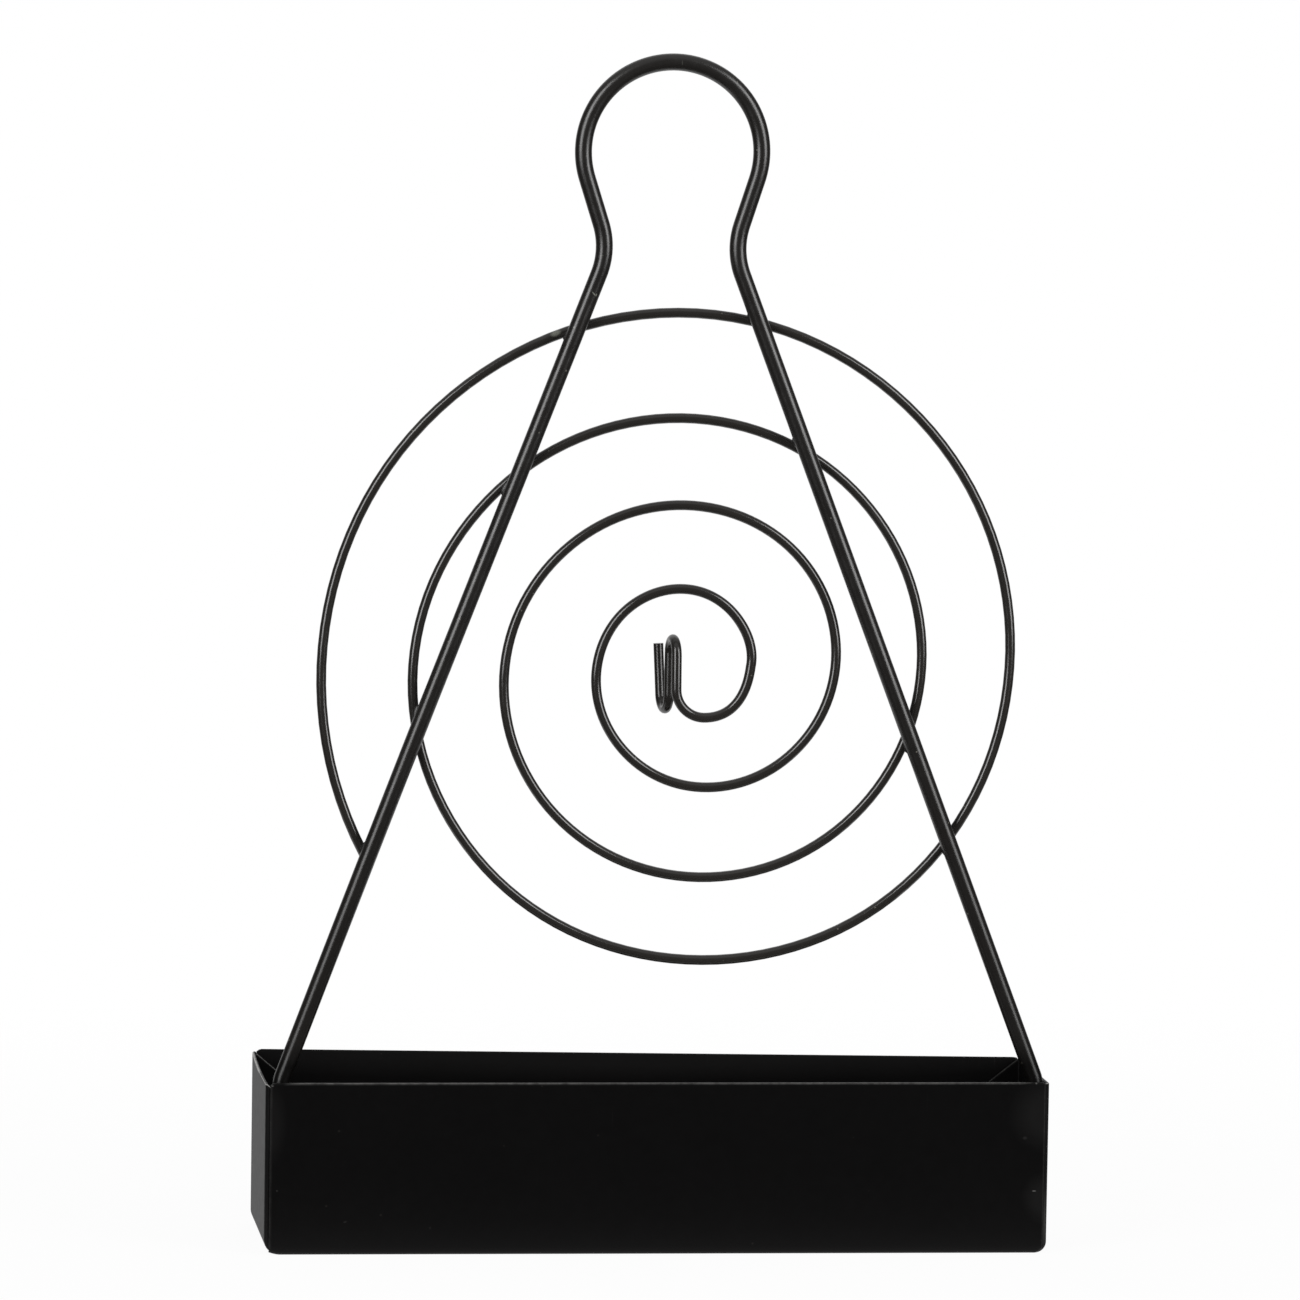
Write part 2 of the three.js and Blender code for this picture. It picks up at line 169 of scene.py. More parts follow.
paintLooks = {
    "everyPaint": {
        "lowShine": 1.0, "shadeAndDarkening": None, "rubAndGlintScale": 700.0, "cloudRange": (0.3, 0.7), "broadDetail": 3.0,
        "scratchSoft": 0.05, "speckSoft": 1.6, "markDepth": 0.0015, "markCore": 0.45,
    },
    "trayPaint": {
        "dark": (0.0020, 0.0018, 0.0019), "light": (0.0027, 0.0025, 0.0025), "patchScale": 60.0,
        "rough": 0.47, "roughSpread": 0.02, "cloudScale": 420.0, "shine": 0.125,
        "peelScale": 1900.0, "peelHeight": 0.000006,
        "speckScale": 150.0, "speckSize": 0.030, "speckColor": (0.012, 0.011, 0.010),
        "scratchStretch": (2600.0, 2600.0, 70.0), "scratchEdge": 0.74,
        "scratchColor": (0.009, 0.0085, 0.0085), "wearAndGlintColor": (0.42, 0.413, 0.40),
        "markAndGlintColor": (0.10, 0.098, 0.095),
        # place, half length, half width, turn in degrees, strength
        "marksAndGlints": [
            ((0.09142, -0.025, 0.0291), 0.0007, 0.0005, 0.0, 0.12),
            ((0.09395, -0.025, 0.01578), 0.0006, 0.00018, 0.0, 1.0),
            ((-0.09449, -0.025, 0.01617), 0.0003, 0.0002, 20.0, 0.25),
            ((-0.07759, -0.025, 0.00839), 0.0006, 0.0002, -15.0, 0.15),
            ((-0.05652, -0.025, 0.00684), 0.0002, 0.0004, 10.0, 0.12),
            # painted glint at the top left corner, where the end rim meets the front panel
            ((-0.0959, -0.025, 0.0423), 0.0004, 0.0002, 0.0, 0.8),
            # painted light: soft lighter patches towards each end of the front face
            ((0.0975, -0.025, 0.0350), 0.0105, 0.0100, 0.0, 0.05),
            ((0.0975, -0.025, 0.0140), 0.0070, 0.0070, 0.0, 0.05),
            ((-0.0965, -0.025, 0.0330), 0.0045, 0.0110, 0.0, 0.035),
            # painted highlight low down the right upright edge
            ((0.0969, -0.0246, 0.0080), 0.0005, 0.0100, 0.0, 0.30),
            # painted light: a lighter band along the top of the back wall's inside
            ((0.0, 0.0240, 0.0430), 0.1300, 0.0075, 0.0, 0.05),
            # painted glint on the front rim by the right foot
            ((0.0940, -0.0250, 0.0428), 0.0003, 0.0003, 0.0, 0.8),
        ],
    },
    "rodPaint": {
        "dark": (0.0098, 0.0088, 0.0080), "light": (0.0148, 0.0132, 0.0120), "patchScale": 90.0,
        "rough": 0.29, "roughSpread": 0.03, "cloudScale": 300.0,
        "shine": 0.9, "lowShine": 0.48, "shineRise": (0.05, 0.17),
        "peelScale": 520.0, "peelHeight": 0.000005,
        # painted shade: the rod and its foot welds are darker below the tray's rim, where they stand inside
        # the tray
        "shadeAndDarkening": {"start": 0.047, "end": 0.053, "tone": 0.25, "dull": 0.0, "along": False},
        "speckScale": 260.0, "speckSize": 0.045, "speckColor": (0.11, 0.105, 0.09),
        "scratchStretch": (900.0, 900.0, 45.0), "scratchEdge": 0.72, "scratchColor": (0.035, 0.032, 0.03),
        "wearAndGlintColor": (0.20, 0.205, 0.18), "markAndGlintColor": (0.20, 0.205, 0.175),
        "marksAndGlints": [
            ((-0.0191, -0.0226, 0.2382), 0.0009, 0.00020, 48.0, 0.8),
            ((-0.0185, -0.0226, 0.2379), 0.0005, 0.00018, -70.0, 0.9),
            ((-0.0174, -0.0226, 0.2476), 0.0008, 0.00014, 0.0, 0.3),
            ((0.0206, -0.0226, 0.2738), 0.0002, 0.0002, 0.0, 0.8),
            ((-0.0238, -0.0226, 0.2299), 0.0003, 0.0003, 0.0, 0.7),
            ((-0.0279, -0.0181, 0.2281), 0.0016, 0.0009, -22.0, 0.7),
            ((0.0018, -0.0226, 0.2950), 0.00014, 0.0008, 0.0, 0.2),
        ],
    },
    # the thin wire and the welds, where they differ from the rod
    "wirePaint": {
        "dark": (0.0172, 0.0158, 0.0143), "light": (0.0250, 0.0228, 0.0205), "rough": 0.18, "lowShine": 1.0,
        # darker and rougher along the clip, measured along the wire from its cut end
        "shadeAndDarkening": {"start": 0.050, "end": 0.062, "tone": 0.75, "dull": 0.10, "along": True},
    },
    "weldPaint": {"rough": 0.40},
}


def newMaterial(name):
    material = bpy.data.materials.new(name)
    material.use_nodes = True
    material.node_tree.nodes.clear()
    return material, material.node_tree


def addMarksAndGlints(tree, place, look):
    spots = 0.0
    for where, halfLength, halfWidth, turn, strength in look["marksAndGlints"]:
        local = addNode(tree, "ShaderNodeMapping", {
            "Vector": place, "Location": where, "Rotation": (0.0, math.radians(turn), 0.0),
            "Scale": (halfLength, look["markDepth"], halfWidth)}, vector_type="TEXTURE").outputs[0]
        away = addNode(tree, "ShaderNodeVectorMath", {0: local}, operation="LENGTH").outputs["Value"]
        spots = calc(tree, "MAXIMUM", spots, ramp(tree, away, look["markCore"], 1.0, strength, 0.0))
    return spots


def makePaint(name, base=None, skinAttribute=None):
    look = {**paintLooks["everyPaint"], **paintLooks.get(base, {}), **paintLooks[name]}
    material, tree = newMaterial(name)
    place = addNode(tree, "ShaderNodeTexCoord").outputs["Object"]
    along = place
    if skinAttribute:
        along = addNode(tree, "ShaderNodeAttribute", attribute_name=skinAttribute).outputs["Vector"]
    # broad patches, where the coat is a little thicker or thinner
    patch = noiseAt(tree, place, look["patchScale"], look["broadDetail"])
    color = mix(tree, patch, (*look["dark"], 1.0), (*look["light"], 1.0))
    # satin, a little uneven
    rough, sway = look["rough"], look["roughSpread"]
    cloud = noiseAt(tree, place, look["cloudScale"], look["broadDetail"])
    satin = ramp(tree, cloud, *look["cloudRange"], rough - sway, rough + sway)
    shadeAndDarkening = look["shadeAndDarkening"]
    if shadeAndDarkening:
        # painted shade low down, where the rod and its foot welds stand inside the tray; the wire is darker
        # and rougher along its clip
        measured = splitVector(tree, along if shadeAndDarkening["along"] else place)[2]
        shade = ramp(tree, measured, shadeAndDarkening["start"], shadeAndDarkening["end"], shadeAndDarkening["tone"], 1.0)
        color = scaleVector(tree, color, shade)
        dull = calc(tree, "MULTIPLY", calc(tree, "SUBTRACT", 1.0, shade), shadeAndDarkening["dull"])
        satin = calc(tree, "ADD", satin, dull)
    # scratches run along the wire, or up and down the sheet
    drawn = addNode(tree, "ShaderNodeMapping", {"Vector": along, "Scale": look["scratchStretch"]}).outputs[0]
    edge = look["scratchEdge"]
    scratch = ramp(tree, noiseAt(tree, drawn, 1.0), edge, edge + look["scratchSoft"])
    # dust caught in the paint
    dust = addNode(tree, "ShaderNodeTexVoronoi", {"Vector": place, "Scale": look["speckScale"]})
    size = look["speckSize"]
    speck = ramp(tree, dust.outputs["Distance"], size, size * look["speckSoft"], 1.0, 0.0)
    # paint rubbed thin on edges, and on the tray's cut edges also a painted glint, from the mesh's own
    # attribute
    wearAndGlint = addNode(tree, "ShaderNodeAttribute", attribute_name="edgeWearAndGlint").outputs["Fac"]
    rubbedAndGlint = calc(tree, "MULTIPLY", wearAndGlint, noiseAt(tree, place, look["rubAndGlintScale"]))
    # the few marks that show from the front come last; on the tray some of them are painted glints and
    # painted light
    marksAndGlints = addMarksAndGlints(tree, place, look)
    layers = {"scratchColor": scratch, "speckColor": speck, "wearAndGlintColor": rubbedAndGlint, "markAndGlintColor": marksAndGlints}
    for label, amount in layers.items():
        color = mix(tree, amount, color, (*look[label], 1.0))
    # orange peel of a sprayed coat, with the fine lines of the scratches
    height = calc(tree, "ADD", noiseAt(tree, place, look["peelScale"]), scratch)
    bump = addNode(tree, "ShaderNodeBump", {
        "Height": height, "Distance": look["peelHeight"], "Strength": 1.0}).outputs[0]
    shader = addNode(tree, "ShaderNodeBsdfPrincipled", {
        "Base Color": color, "Roughness": satin, "Specular IOR Level": look["shine"], "Normal": bump})
    if look["lowShine"] < 1:
        # the gloss is weaker low on the legs
        low = look["shine"] * look["lowShine"]
        gloss = ramp(tree, splitVector(tree, place)[2], *look["shineRise"], low, look["shine"])
        plug(tree, shader.inputs["Specular IOR Level"], gloss)
    addNode(tree, "ShaderNodeOutputMaterial", {"Surface": shader.outputs[0]})
    return material


trayPaint = makePaint("trayPaint")
rodPaint = makePaint("rodPaint", skinAttribute="wireSkin")
wirePaint = makePaint("wirePaint", "rodPaint", "wireSkin")
weldPaint = makePaint("weldPaint", "rodPaint")
print("paints mixed")


# tray, one folded blank

trayBlank = {
    "length": 0.195, "depth": 0.050, "height": 0.043, "sheet": 0.001, "paintedSheet": 0.00065,
    "foldRadius": 0.0018, "cornerRadius": 0.00115, "tabWidth": 0.0084, "tabSlope": 0.82, "tabLap": 0.0001,
    # folded by hand: what differs between the left end and the right end
    "endFold": (0.0038, 0.0028), "lift": (0.0006, 0.0009), "cornerFall": (0.0006, 0.0002),
    "dropFront": (0.0005, 0.0003), "dip": (0.0011, 0.0002), "tabStart": (0.0007, 0.0001),
    # what both ends share, with how far the lift, the fall and the dip reach
    "dropBack": 0.0002, "twist": 0.0011, "sag": 0.00006, "liftTop": 0.006, "liftPower": 1.5,
    "cornerLength": 0.0013, "cornerReach": 0.004, "dipPower": 0.75,
    # rows and columns of the sheet, how they are joined, and the height that all faces look away from
    "foldSteps": 8, "wallRows": 9, "lengthStations": 48, "depthStations": 12, "wingStations": 5,
    "tabStations": 4, "flatMargin": 0.0006, "tabMargin": 0.0005, "rowMargin": 0.015, "mergeWithin": 1e-6,
    "insideShare": 0.6,
    # how the cut edges are told apart; the long rims carry less wear and painted glint in the quiet stretch
    # at each end
    "rimShare": 0.75, "uprightShare": 0.7, "slack": 0.01, "quiet": (0.0087, 0.0110), "brightRimY": 0.006,
    # how round they are, and for each kind its share of the rounding, its wear with painted glint, and how
    # far that reaches
    "rimRound": 0.00026, "rimSteps": 3, "wearAndGlintFade": 1.6,
    "longRim": (0.5, 0.42, 0.00012), "footRim": (0.5, 0.02, 0.00014), "upright": (0.3, 0.045, 0.00014),
    "endRim": (0.6, 2.8, 0.00010), "endRimBack": (0.6, 4.0, 0.00014),
    "tabRimLeft": (1.0, 0.55, 0.00015), "tabRimRight": (1.0, 0.11, 0.00018),
}


def sided(pair, x):
    return pair[0] if x < 0 else pair[1]


def spread(start, end, count, margin):
    # even stations with one more close to each end, so that the flat stays flat beside a fold
    inner = np.linspace(start + margin, end - margin, count)
    return [start, *inner, end]


def addSheet(bm, rows):
    made = [[bm.verts.new(point) for point in row] for row in rows]
    for low, high in zip(made, made[1:]):
        for i in range(len(low) - 1):
            bm.faces.new((low[i], low[i + 1], high[i + 1], high[i]))


def addChannel(bm, t, flatY, endX):
    # floor and the two long walls; the walls run on past the floor, to the corners
    halfDepth, fold, margin, wing = t["depth"] / 2, t["foldRadius"], t["flatMargin"], t["wingStations"]
    axes = [t["length"] / 2 - endFold for endFold in t["endFold"]]
    floorX = spread(-axes[0], axes[1], t["lengthStations"], margin)
    wallX = [*np.linspace(-endX, -axes[0], wing)[:-1], *floorX, *np.linspace(axes[1], endX, wing)[1:]]
    addSheet(bm, [[(x, y, 0.0) for x in floorX] for y in spread(-flatY, flatY, t["depthStations"], margin)])
    longY = halfDepth - fold

    def lifted(x, z):
        # the long walls' lower corners are drawn up a little, their upper ones rounded down
        beyond = max(0.0, abs(x) - sided(axes, x)) / (endX - sided(axes, x))
        rounded = max(0.0, abs(x) - (endX - t["cornerLength"])) / t["cornerLength"]
        rise = sided(t["lift"], x) * beyond ** t["liftPower"] * max(0.0, 1 - z / t["liftTop"])
        fall = sided(t["cornerFall"], x) * rounded ** 2 * max(0.0, 1 - (t["height"] - z) / t["cornerReach"])
        return rise - fall

    for side in (-1, 1):
        addSheet(bm, [[(x, side * y, 0.0) for x in floorX] for y in (flatY, longY)])
        rows = []
        for i in range(t["foldSteps"] + 1):
            angle = math.pi / 2 * i / t["foldSteps"]
            y, z = longY + fold * math.sin(angle), fold - fold * math.cos(angle)
            rows.append([(x, side * y, z + lifted(x, z)) for x in wallX])
        for z in spread(fold, t["height"], t["wallRows"], margin)[1:]:
            # the panel sinks in a little between its ends
            bow = t["sag"] * math.sin(math.pi * (z - fold) / (2 * (t["height"] - fold)))
            rows.append([(x, side * (halfDepth - bow * math.cos(math.pi * x / t["length"])), z + lifted(x, z))
                         for x in wallX])
        addSheet(bm, rows)


def addEnd(bm, t, side, flatY, tabY, endX):
    # end wall with a round upright corner and a tab at each side, turned up from the floor
    halfLength, corner, endFold = t["length"] / 2, t["cornerRadius"], sided(t["endFold"], side)
    angles = [math.pi / 2 * i / t["foldSteps"] for i in range(1, t["foldSteps"] + 1)]
    tabXs = spread(halfLength - t["tabWidth"], endX, t["tabStations"], t["tabMargin"])
    outline = [(x, -tabY) for x in tabXs]
    outline += [(endX + corner * math.sin(a), -flatY - corner * math.cos(a)) for a in angles]
    outline += [(halfLength, y) for y in spread(-flatY, flatY, t["depthStations"], t["flatMargin"])[1:]]
    outline += [(endX + corner * math.cos(a), flatY + corner * math.sin(a)) for a in angles]
    outline += [(x, tabY) for x in reversed(tabXs[:-1])]

    def rimAt(x, y):
        # the rim is lower at the front, dips between its ends and slopes down along each tab
        toFront = min(1.0, (t["depth"] / 2 - y) / t["depth"])
        drop = t["dropBack"] + (sided(t["dropFront"], side) - t["dropBack"]) * toFront ** 2
        drop += sided(t["dip"], side) * math.sin(math.pi * max(0.0, toFront) ** t["dipPower"])
        drop += t["tabSlope"] * max(0.0, endX + sided(t["tabStart"], side) - x)
        return t["height"] - drop

    addSheet(bm, [[(side * x, y, endFold + (rimAt(x, y) - endFold) * share) for x, y in outline]
                  for share in spread(0.0, 1.0, t["wallRows"], t["rowMargin"])])
    # the fold to the floor turns about one line, so the corners roll under with it
    axisX = halfLength - endFold
    turned = outline[len(tabXs) - 1:len(outline) - len(tabXs) + 1]
    below = []
    for i in range(2 * t["foldSteps"] + 1):
        a = math.pi / 4 * i / t["foldSteps"]
        below.append([(side * (axisX + (x - axisX) * math.cos(a)), y, endFold - (x - axisX) * math.sin(a))
                      for x, y in turned])
    addSheet(bm, below)


def turnOutward(bm, middle):
    for face in bm.faces:
        face.normal_update()
        if face.normal.dot(face.calc_center_median() - middle) < 0:
            face.normal_flip()


def rimKind(edge, t):
    x, y = edge.verts[0].co.xy
    nearX, nearY = (min(abs(vertex.co[axis]) for vertex in edge.verts) for axis in (0, 1))
    if nearY >= t["depth"] / 2 - t["sheet"] / 2:
        return "longRim" if nearX < t["length"] / 2 - sided(t["quiet"], x) else "footRim"
    if nearX <= t["length"] / 2 - t["cornerRadius"] * (1 + t["slack"]):
        return "tabRimLeft" if x < 0 else "tabRimRight"
    return "endRimBack" if x < 0 and y > t["brightRimY"] else "endRim"


def roundedEdges(bm, t):
    # the cut edges whose paint is rounded: rims, the long walls' ends and the tabs' free sides
    weights = bm.edges.layers.float.new("bevel_weight_edge")
    chosen = []
    for edge in bm.edges:
        low, high = sorted(vertex.co.z for vertex in edge.verts)
        upright = high - low > t["uprightShare"] * edge.calc_length()
        aboveFold = low > t["foldRadius"] * (1 - t["slack"])
        if not edge.is_boundary or not (low > t["height"] * t["rimShare"] or (upright and aboveFold)):
            continue
        kind = rimKind(edge, t)
        rounding, wearAndGlint, reach = t["upright" if upright else kind]
        edge[weights] = rounding
        start, end = (vertex.co.copy() for vertex in edge.verts)
        chosen.append((start, end, wearAndGlint, reach))
        if kind.startswith("tab"):
            # the tab's inner edge carries the wear and painted glint too
            inward = Vector((0, -math.copysign(t["paintedSheet"], start.y), 0))
            chosen.append((start + inward, end + inward, wearAndGlint, reach))
    return chosen


# wear with a painted glint along the cut edges, strongest at each edge and fading away from it
def markWearAndGlint(mesh, segments, fade):
    points = np.zeros(len(mesh.vertices) * 3)
    mesh.vertices.foreach_get("co", points)
    points = points.reshape(-1, 3)
    wornAndGlint = np.zeros(len(points))
    for start, end, hard, reach in segments:
        a, b = np.array(start), np.array(end)
        share = np.clip(((points - a) @ (b - a)) / max((b - a) @ (b - a), 1e-18), 0, 1)
        away = np.linalg.norm(points - (a + share[:, None] * (b - a)), axis=1)
        wornAndGlint = np.maximum(wornAndGlint, hard * np.clip(fade - away / reach, 0, 1))
    wearAndGlint = mesh.attributes.new("edgeWearAndGlint", "FLOAT", "POINT")
    wearAndGlint.data.foreach_set("value", wornAndGlint.astype(np.float32))


def makeTray(t):
    tabY = t["depth"] / 2 - t["sheet"] + t["tabLap"]
    endX, flatY = t["length"] / 2 - t["cornerRadius"], tabY - t["cornerRadius"]
    bm = bmesh.new()
    addChannel(bm, t, flatY, endX)
    for side in (-1, 1):
        addEnd(bm, t, side, flatY, tabY, endX)
    bmesh.ops.remove_doubles(bm, verts=bm.verts, dist=t["mergeWithin"])
    turnOutward(bm, Vector((0, 0, t["height"] * t["insideShare"])))
    # the back wall stands a little higher at its left end than at its right
    for vertex in bm.verts:
        x, y, z = vertex.co
        vertex.co.z += t["twist"] * (-2 * x / t["length"]) * (z / t["height"]) * (y / t["depth"] + 0.5)
    cutEdges = roundedEdges(bm, t)
    mesh = bpy.data.meshes.new("tray")
    bm.to_mesh(mesh)
    bm.free()
    piece = placeObject("trayShell", mesh)
    thick = piece.modifiers.new("sheet", "SOLIDIFY")
    thick.thickness, thick.offset, thick.use_even_offset = t["paintedSheet"], -1.0, True
    rounded = piece.modifiers.new("rims", "BEVEL")
    rounded.limit_method, rounded.width, rounded.segments = "WEIGHT", t["rimRound"], t["rimSteps"]
    rounded.use_clamp_overlap = False
    solid = settle(piece)
    solid.polygons.foreach_set("use_smooth", [True] * len(solid.polygons))
    markWearAndGlint(solid, cutEdges, t["wearAndGlintFade"])
    solid.materials.clear()
    solid.materials.append(trayPaint)
    return piece


tray = makeTray(trayBlank)
finishPiece(tray, "tray_paint", "tray")


# frame rod

frameRod = {
    "diameter": 0.004, "paintedDiameter": 0.0042, "top": 0.2972,
    "loopInside": 0.040, "neckInside": 0.029, "neckBend": 0.0186, "neckStraight": 0.0117,
    "footBend": 0.008, "footBendDrop": 0.0015, "seatGap": 0.0003,
    "leftFootStray": 0.0007, "strayTop": 0.140, "strayPower": 1.5,
    "bendStep": math.radians(2.5), "legStep": 0.004, "endStation": 0.00045, "endRound": 0.0004, "sides": 40,
}
rodRadius = frameRod["diameter"] / 2
tabInnerY = trayBlank["depth"] / 2 - 2 * trayBlank["sheet"] + trayBlank["tabLap"]
footX = trayBlank["length"] / 2 - trayBlank["sheet"] - frameRod["seatGap"] - rodRadius
rodY = -tabInnerY + frameRod["seatGap"] + rodRadius


def arcPoints(centreX, centreZ, radius, start, end, step):
    count = max(2, math.ceil(abs(end - start) / step))
    return [(centreX + radius * math.cos(start + (end - start) * i / count),
             centreZ + radius * math.sin(start + (end - start) * i / count)) for i in range(count + 1)]


def rodLine(r):
    loopRadius = r["loopInside"] / 2 + rodRadius
    loopZ = r["top"] - r["paintedDiameter"] / 2 - loopRadius
    bendSum = loopRadius + r["neckBend"]
    neckX = r["neckInside"] / 2 + rodRadius + r["neckBend"]
    slant = math.atan2(r["neckStraight"], bendSum)
    undercut = math.acos(neckX / math.hypot(bendSum, r["neckStraight"])) - slant
    neckZ = loopZ - bendSum * math.sin(undercut) - r["neckStraight"] * math.cos(undercut)
    footBendX, footBendZ = footX - r["footBend"], trayBlank["height"] - r["footBendDrop"]
    rise = math.atan2(neckZ - footBendZ, neckX - footBendX)
    reach = math.hypot(neckX - footBendX, neckZ - footBendZ)
    lean = rise - math.acos((r["neckBend"] + r["footBend"]) / reach)
    step, footZ = r["bendStep"], trayBlank["sheet"] + r["seatGap"]
    half = [(footX, footZ), (footX, footZ + r["endStation"])]
    half += arcPoints(footBendX, footBendZ, r["footBend"], 0, lean, step)
    half += arcPoints(neckX, neckZ, r["neckBend"], math.pi + lean, math.pi - undercut, step)
    half += arcPoints(0, loopZ, loopRadius, -undercut, math.pi / 2, step)
    whole = half + [(-x, z) for x, z in reversed(half[:-1])]
    filled = [whole[0]]
    for (ax, az), (bx, bz) in zip(whole, whole[1:]):
        count = max(1, int(math.hypot(bx - ax, bz - az) / r["legStep"]))
        filled += [(ax + (bx - ax) * i / count, az + (bz - az) * i / count) for i in range(1, count + 1)]
    # the left leg is bent in a little towards its foot
    bent, rim, top = [], trayBlank["height"], r["strayTop"]
    for x, z in filled:
        low = max(0.0, (top - max(z, rim)) / (top - rim))
        bent.append((x + (r["leftFootStray"] * low ** r["strayPower"] if x < 0 else 0.0), z))
    return bent


# the rod and the wire are swept along their lines

cutEndShare = 0.84  # of the wire's radius, left at the very end of a cut


def sweepValues(w):
    return {"Wire Radius": w["paintedDiameter"] / 2, "Wire Sides": w["sides"], "End Round": w["endRound"]}


def sweepAlong(tree, given, path):
    # the cut ends are rounded off: the radius falls over the last fraction of a millimetre
    along = addNode(tree, "GeometryNodeSplineParameter").outputs["Length"]
    whole = addNode(tree, "GeometryNodeSplineLength").outputs["Length"]
    toEnd = calc(tree, "MINIMUM", along, calc(tree, "SUBTRACT", whole, along))
    rounding = calc(tree, "DIVIDE", toEnd, given["End Round"])
    factor = ramp(tree, rounding, 0.0, 1.0, cutEndShare, 1.0)
    kept = storeValue(tree, path, "skinAlong", along, "FLOAT")
    sized = addNode(tree, "GeometryNodeSetCurveRadius", {"Curve": kept, "Radius": factor}).outputs[0]
    ring = addNode(tree, "GeometryNodeCurvePrimitiveCircle",
                   {"Resolution": given["Wire Sides"], "Radius": given["Wire Radius"]}).outputs[0]
    ringPlace = addNode(tree, "GeometryNodeInputPosition").outputs[0]
    ringKept = storeValue(tree, ring, "skinRound", ringPlace)
    swept = addNode(tree, "GeometryNodeCurveToMesh",
                    {"Curve": sized, "Profile Curve": ringKept, "Fill Caps": True}).outputs[0]
    # the wire's skin unrolled: round it in x and y, along it in z
    upward = addNode(tree, "ShaderNodeCombineXYZ", {"Z": namedValue(tree, "skinAlong")}).outputs[0]
    skin = addVectors(tree, namedValue(tree, "skinRound", "FLOAT_VECTOR"), upward)
    return storeValue(tree, swept, "wireSkin", skin)


def sweepRod(tree, given):
    path = addNode(tree, "GeometryNodeMeshToCurve", {"Mesh": given["Geometry"]}).outputs[0]
    return sweepAlong(tree, given, path)


rodPoints = rodLine(frameRod)
rodMesh = pointMesh("rodLine", [(x, rodY, z) for x, z in rodPoints], chain(0, len(rodPoints)), {})
rod = growPiece("frameRod", rodMesh, "rodSweep", sweepValues(frameRod), sweepRod, rodPaint)
finishPiece(rod, "rod_paint", "frame_rod")


# spiral wire with its clip

spiralWire = {
    "diameter": 0.0024, "paintedDiameter": 0.00248, "sides": 24, "endRound": 0.00025, "weldRoom": 0.0005,
    "centreX": 0.007, "heightShare": 0.49, "startRadius": 0.0126, "pitch": 0.0224, "turns": 4.0,
    "tail": 0.0015, "stationsPerTurn": 120,
    # how far the hand-wound wire strays from the rule, as shares of the pitch
    "strayPerTurn": 8,
    "strayShares": [0.099, 0.049, 0.040, 0.014, -0.020, -0.024, 0.012, 0.035, 0.040, 0.011, -0.028, -0.033,
                    -0.001, 0.018, 0.021, 0.023, -0.002, -0.049, -0.067, -0.041, 0.012, -0.018, -0.055,
                    -0.009, -0.020, 0.021, 0.095, 0.074, 0.022, 0.005, 0.011],
    # steps to the left at the top and the lower bend, leans of the middle and the last run
    "clipX": 0.00347, "clipSlot": 0.0052, "clipSteps": (0.00095, 0.00135), "clipLeans": (0.00010, 0.00055),
    "clipTilt": 0.052, "clipTop": 0.0063, "clipBottom": 0.0116, "clipEnd": 0.0041, "clipBendSteps": 16,
    "leadBend": 0.007, "leadDrop": 0.01265, "leadFullness": 0.6, "leadBendStep": math.radians(5),
    "leadSteps": 24, "leadAhead": 1 / 60,
}
wireRadius = spiralWire["diameter"] / 2
wireY = rodY + rodRadius + spiralWire["weldRoom"] + wireRadius
spiralZ = frameRod["top"] * spiralWire["heightShare"]


def strayAt(w, turns):
    # a smooth curve through the shares
    shares = w["strayShares"]
    place = min(turns * w["strayPerTurn"], len(shares) - 1)
    i = min(int(place), len(shares) - 2)
    f = place - i
    p0, p1, p2, p3 = (shares[max(0, min(len(shares) - 1, k))] for k in (i - 1, i, i + 1, i + 2))
    a, b = (p2 - p0) / 2, (p3 - p1) / 2
    return (2 * p1 - 2 * p2 + a + b) * f ** 3 + (-3 * p1 + 3 * p2 - 2 * a - b) * f ** 2 + a * f + p1


def spiralPoint(w, turns):
    radius = w["startRadius"] + w["pitch"] * (turns + strayAt(w, turns))
    angle = 2 * math.pi * turns
    return (w["centreX"] + radius * math.cos(angle), spiralZ + radius * math.sin(angle))


def clipBend(start, rising, step, w):
    half = Vector((-step / 2, (w["clipSlot"] + w["diameter"]) / 2, 0))
    centre = Vector(start) + half
    points = []
    for i in range(w["clipBendSteps"] + 1):
        angle = math.pi * i / w["clipBendSteps"]
        point = centre - half * math.cos(angle)
        point.z += rising * half.length * math.sin(angle)
        points.append(point)
    return points


